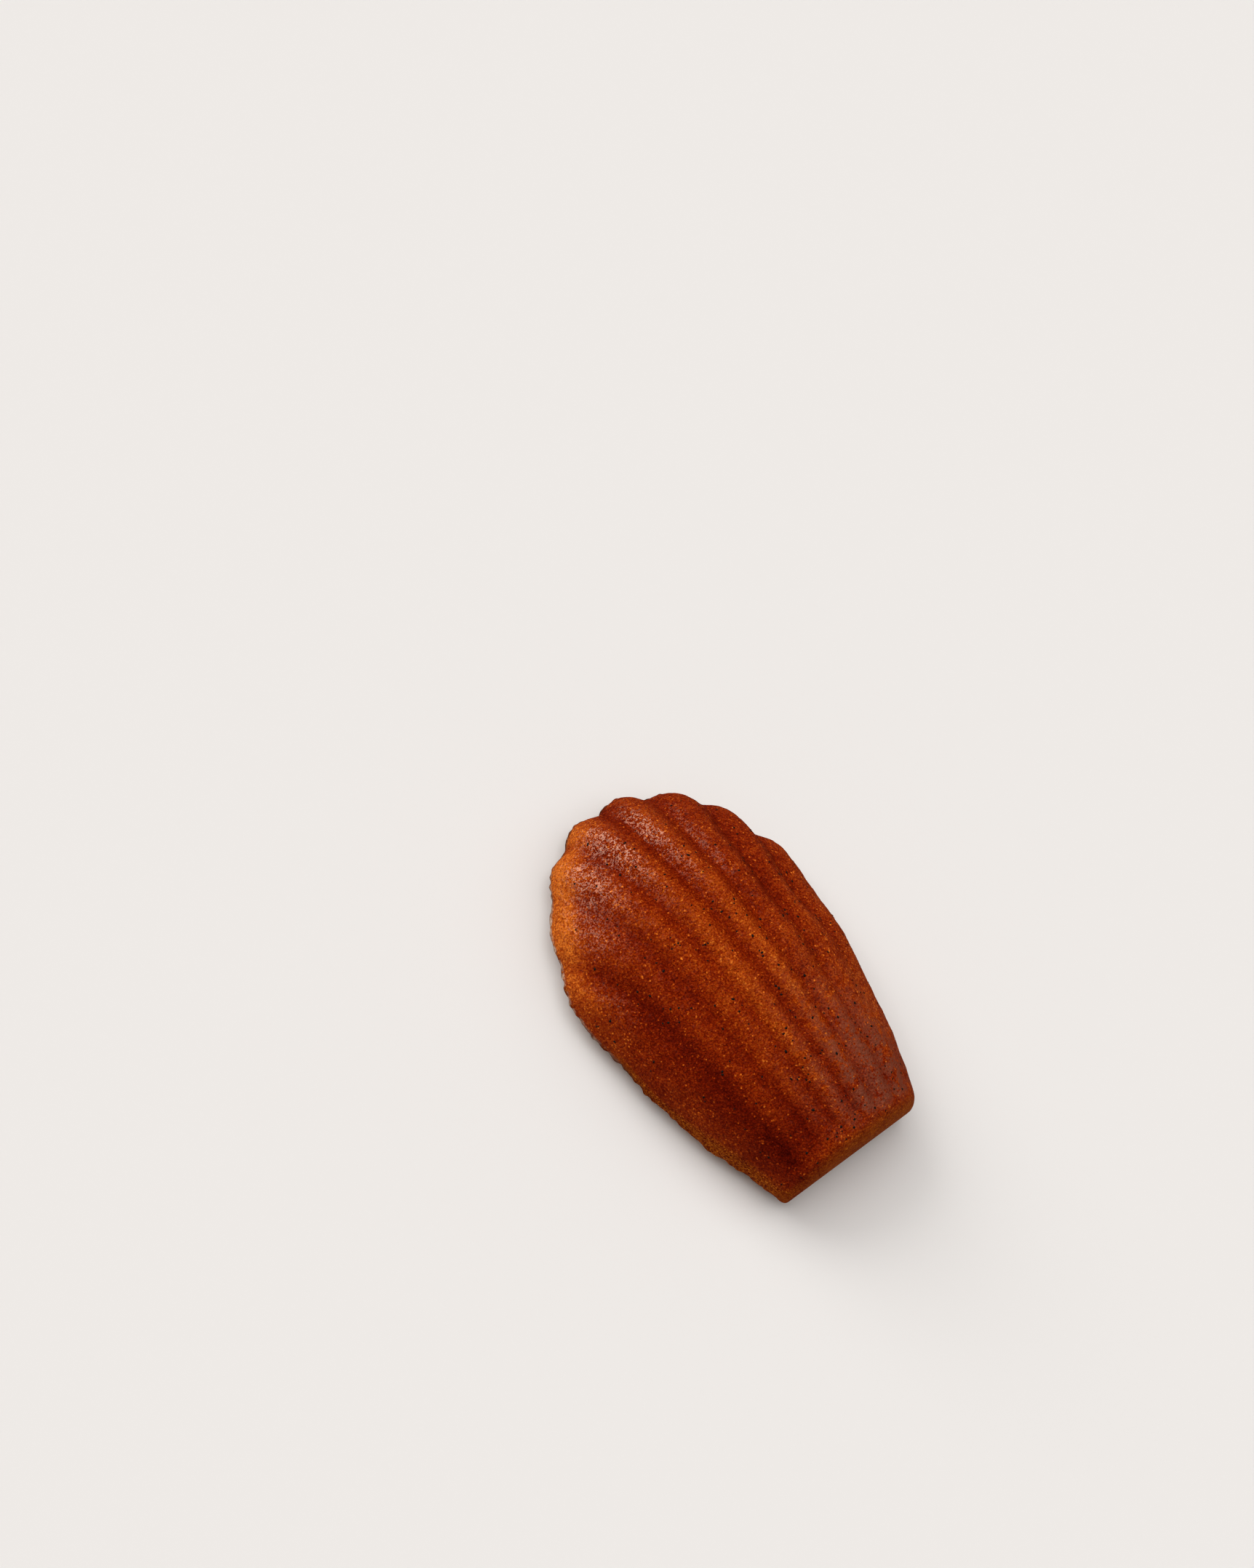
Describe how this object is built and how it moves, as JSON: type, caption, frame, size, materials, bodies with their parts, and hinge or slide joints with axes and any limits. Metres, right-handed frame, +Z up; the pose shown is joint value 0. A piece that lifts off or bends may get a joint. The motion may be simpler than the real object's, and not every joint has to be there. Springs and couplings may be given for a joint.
{
  "type": "madeleine cake",
  "caption": "Small shell-shaped sponge cake with a ribbed, browned shell side, a straight narrow end and a scalloped wide end, lying shell side up.",
  "frame": {"origin": "under the middle of the cake's box, on the surface that it rests on", "axes": "+X across the cake, +Y from the narrow end to the scalloped wide end, +Z up out of the ribbed shell side"},
  "size_m": [0.0502, 0.0756, 0.0219],
  "materials": {
    "crust": "browned, buttery sponge crust: satin on the ribs, matte and finely pored at the rim, narrow end and belly"
  },
  "bodies": {
    "root": {"cake": "crust"}
  },
  "joints": []
}
